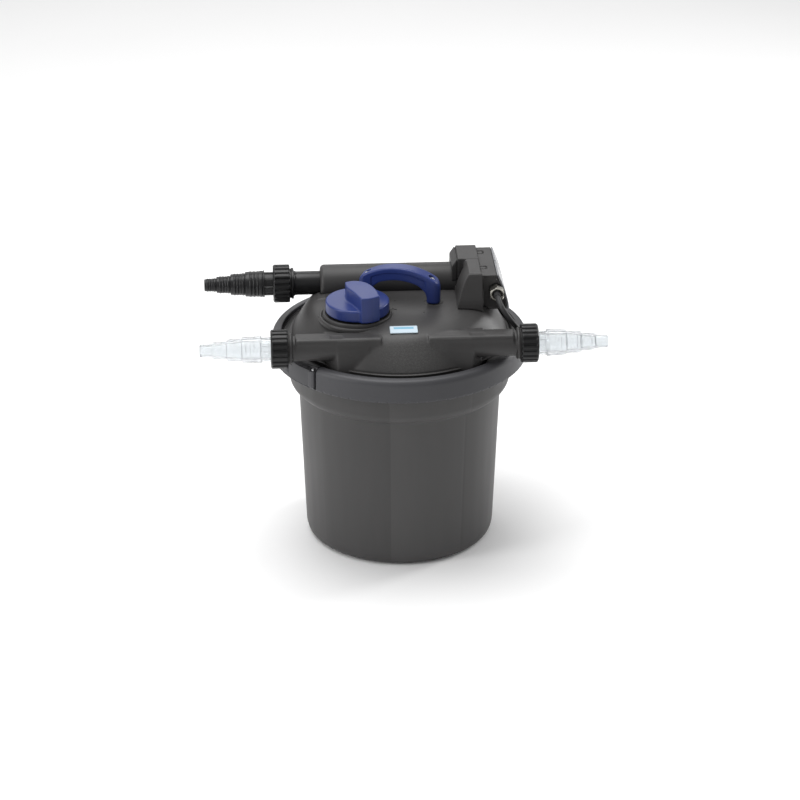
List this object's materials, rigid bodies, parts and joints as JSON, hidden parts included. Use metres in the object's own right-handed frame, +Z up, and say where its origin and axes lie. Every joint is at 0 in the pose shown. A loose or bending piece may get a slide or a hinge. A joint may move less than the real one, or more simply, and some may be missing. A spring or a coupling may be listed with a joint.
{
  "type": "pressurized pond filter",
  "caption": "Pond filter: tapered bucket, domed lid in a clamp ring, lamp tube and control box on top, stepped hose tails, pull handle and selector knob.",
  "frame": {"origin": "centre of the bucket's underside, on the surface that the filter stands on", "axes": "+X along the hose connections, to the right seen from the front; +Y to the back; +Z up"},
  "size_m": [0.5948, 0.4745, 0.429],
  "materials": {
    "bucket_plastic": "fine moulded grain with faint vertical flow streaks",
    "ring_plastic": "smooth satin",
    "lid_plastic": "fine moulded grain",
    "panel_plastic": "glossy",
    "black_plastic": "satin",
    "blue_plastic": "satin gloss",
    "clear_plastic": "clear moulded",
    "rubber": "matt",
    "foam": "open-cell",
    "steel": "bright",
    "nickel": "polished nickel",
    "cable": "satin rubber",
    "quartz": "clear",
    "lamp": "white",
    "ballast_case": "white",
    "label": "printed film"
  },
  "bodies": {
    "root": {"lid": "lid_plastic", "bucket": "bucket_plastic", "clamp_ring": "ring_plastic", "centre_tube": "black_plastic", "uvc_tube": "lid_plastic", "mains_cable": "cable", "head_housing": "lid_plastic", "foam_head_plate": "black_plastic", "mains_plug": "cable", "lid_gasket": "rubber", "quartz_sleeve": "quartz", "valve_chamber": "black_plastic", "foam_ring_1": "foam", "foam_ring_2": "foam", "foam_ring_3": "foam", "foam_ring_4": "foam", "cable_coil": "cable", "head_cover": "lid_plastic", "uvc_lamp": "lamp", "sleeve_seal": "rubber", "sleeve_retainer": "black_plastic", "mains_cable_end": "cable", "gland_body": "nickel", "gland_nut": "nickel", "rod_seal_left": "rubber", "rod_seal_right": "rubber", "lamp_holder": "lamp", "cable_relief": "cable", "plug_relief": "cable", "latch_pin": "steel", "head_end_panel": "panel_plastic", "ballast": "ballast_case", "label_plate": "label"},
    "pull_assembly": {"pull_handle": "blue_plastic", "handle_screw_left": "steel", "handle_screw_right": "steel", "pull_rod_left": "steel", "pull_rod_right": "steel", "press_plate": "black_plastic"},
    "knob_assembly": {"selector_knob": "blue_plastic", "knob_spindle": "black_plastic", "valve_rotor": "black_plastic"},
    "latch": {"latch_lever": "ring_plastic"},
    "tail_left": {"hose_tail_left": "clear_plastic", "flat_washer_left": "rubber"},
    "nut_left": {"union_nut_left": "black_plastic"},
    "tail_right": {"hose_tail_right": "clear_plastic", "flat_washer_right": "rubber"},
    "nut_right": {"union_nut_right": "black_plastic"},
    "tail_rear": {"hose_tail_rear": "black_plastic", "flat_washer_rear": "rubber"},
    "nut_rear": {"union_nut_rear": "black_plastic"}
  },
  "joints": [
    {"name": "handle_pull", "type": "slide", "parent": "root", "child": "pull_assembly", "axis": [0, 0, 1], "range_m": [0, 0.11], "deforming": ["foam_ring_1", "foam_ring_2", "foam_ring_3", "foam_ring_4"]},
    {"name": "knob_turn", "type": "hinge", "parent": "root", "child": "knob_assembly", "pos_m": [-0.065, -0.054, 0.38], "axis": [0, 0, 1], "range_deg": [0, 180]},
    {"name": "latch_open", "type": "hinge", "parent": "root", "child": "latch", "pos_m": [-0.13381, -0.13149, 0.3065], "axis": [0, 0, 1], "range_deg": [0, 100]},
    {"name": "tail_left_out", "type": "slide", "parent": "root", "child": "tail_left", "axis": [-1, 0, 0], "range_m": [0, 0.0102]},
    {"name": "nut_left_turn", "type": "hinge", "parent": "tail_left", "child": "nut_left", "pos_m": [-0.18, -0.119, 0.35], "axis": [-1, 0, 0], "range_deg": [0, 900]},
    {"name": "tail_right_out", "type": "slide", "parent": "root", "child": "tail_right", "axis": [1, 0, 0], "range_m": [0, 0.0102]},
    {"name": "nut_right_turn", "type": "hinge", "parent": "tail_right", "child": "nut_right", "pos_m": [0.18, -0.119, 0.35], "axis": [1, 0, 0], "range_deg": [0, 900]},
    {"name": "tail_rear_out", "type": "slide", "parent": "root", "child": "tail_rear", "axis": [-1, 0, 0], "range_m": [0, 0.0102]},
    {"name": "nut_rear_turn", "type": "hinge", "parent": "tail_rear", "child": "nut_rear", "pos_m": [-0.172, 0.055, 0.38], "axis": [-1, 0, 0], "range_deg": [0, 900]}
  ],
  "couplings": [
    {"joint": "tail_left_out", "follows": "nut_left_turn", "m_per_rad": 0.00063662},
    {"joint": "tail_right_out", "follows": "nut_right_turn", "m_per_rad": 0.00063662},
    {"joint": "tail_rear_out", "follows": "nut_rear_turn", "m_per_rad": 0.00063662}
  ]
}
